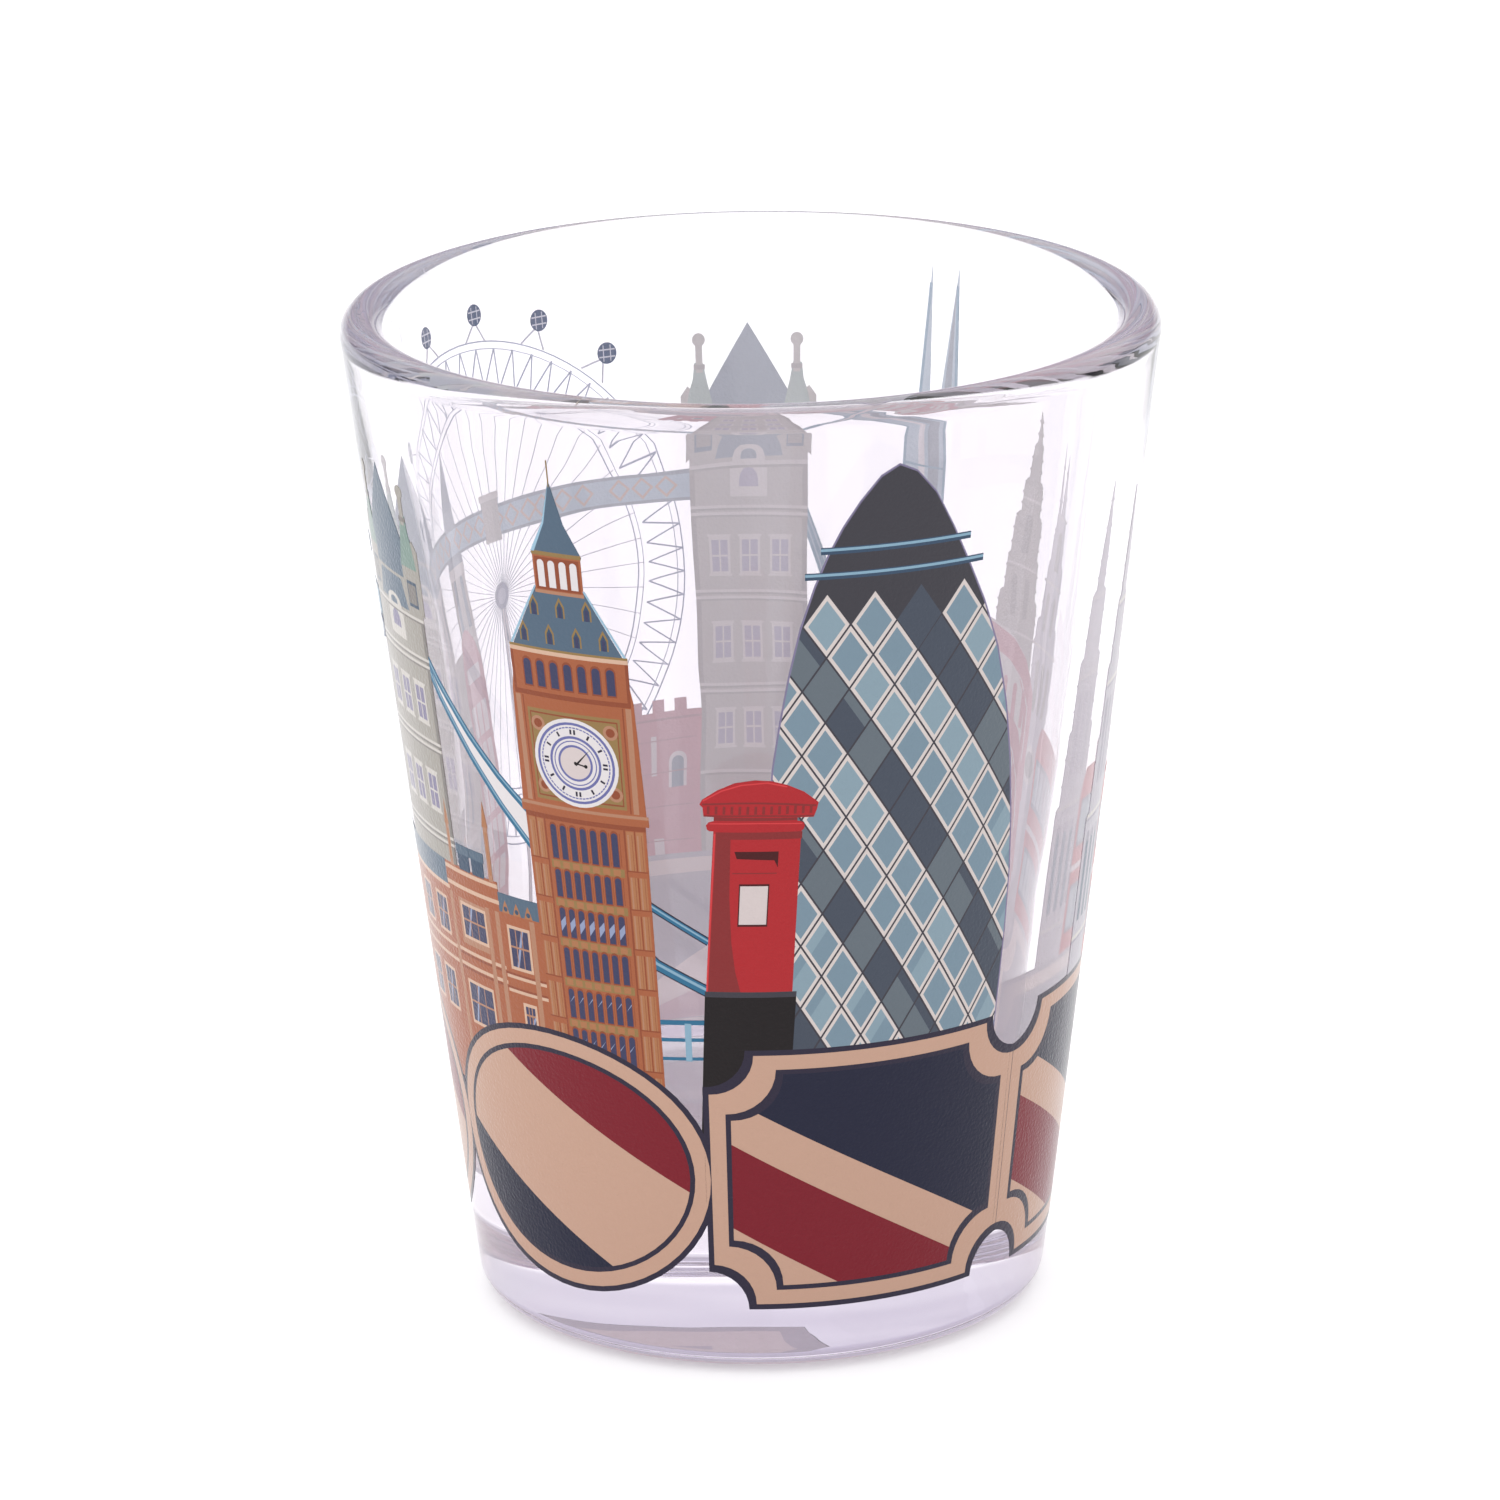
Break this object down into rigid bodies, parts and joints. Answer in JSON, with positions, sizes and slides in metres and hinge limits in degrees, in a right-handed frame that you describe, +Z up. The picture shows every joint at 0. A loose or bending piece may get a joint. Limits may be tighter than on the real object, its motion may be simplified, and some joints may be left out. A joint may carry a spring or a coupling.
{
  "type": "shot glass",
  "caption": "Tapered clear shot glass with a thick solid base, a rounded rim and a printed city skyline above a band of striped plaques.",
  "frame": {"origin": "centre of the flat underside, on the surface that the glass stands on", "axes": "+Z up along the glass's axis, -Y towards the side of the print that the picture shows, +X to that side's right"},
  "size_m": [0.0478, 0.0478, 0.06],
  "materials": {
    "clear_glass": "polished clear soda-lime glass",
    "ink_cream": "satin printed ink, faint grain",
    "ink_brick": "satin printed ink, faint grain",
    "ink_stone": "satin printed ink, faint grain",
    "ink_red": "satin printed ink, faint grain",
    "ink_pale_blue": "satin printed ink, faint grain",
    "ink_steel_blue": "satin printed ink, faint grain",
    "ink_silver": "satin printed ink, faint grain"
  },
  "bodies": {
    "root": {"glass_body": "clear_glass", "print_clock_tower": "ink_brick", "print_palace_wing": "ink_brick", "print_pillar_box": "ink_red", "print_glass_tower": "ink_pale_blue", "print_bridge_tower_east": "ink_stone", "print_bridge_tower_west": "ink_stone", "print_bridge_walkway": "ink_steel_blue", "print_bridge_chain_west": "ink_steel_blue", "print_bridge_chain_east": "ink_steel_blue", "print_bridge_deck": "ink_steel_blue", "print_wheel": "ink_silver", "print_castle_wall": "ink_brick", "print_phone_kiosk": "ink_red", "print_minster": "ink_stone", "print_spire_tower": "ink_pale_blue", "print_abbey": "ink_stone", "print_bus": "ink_red", "print_monument": "ink_stone", "print_plaque_1": "ink_cream", "print_plaque_2": "ink_cream", "print_plaque_3": "ink_cream", "print_plaque_4": "ink_cream", "print_plaque_5": "ink_cream", "print_plaque_6": "ink_cream"}
  },
  "joints": []
}
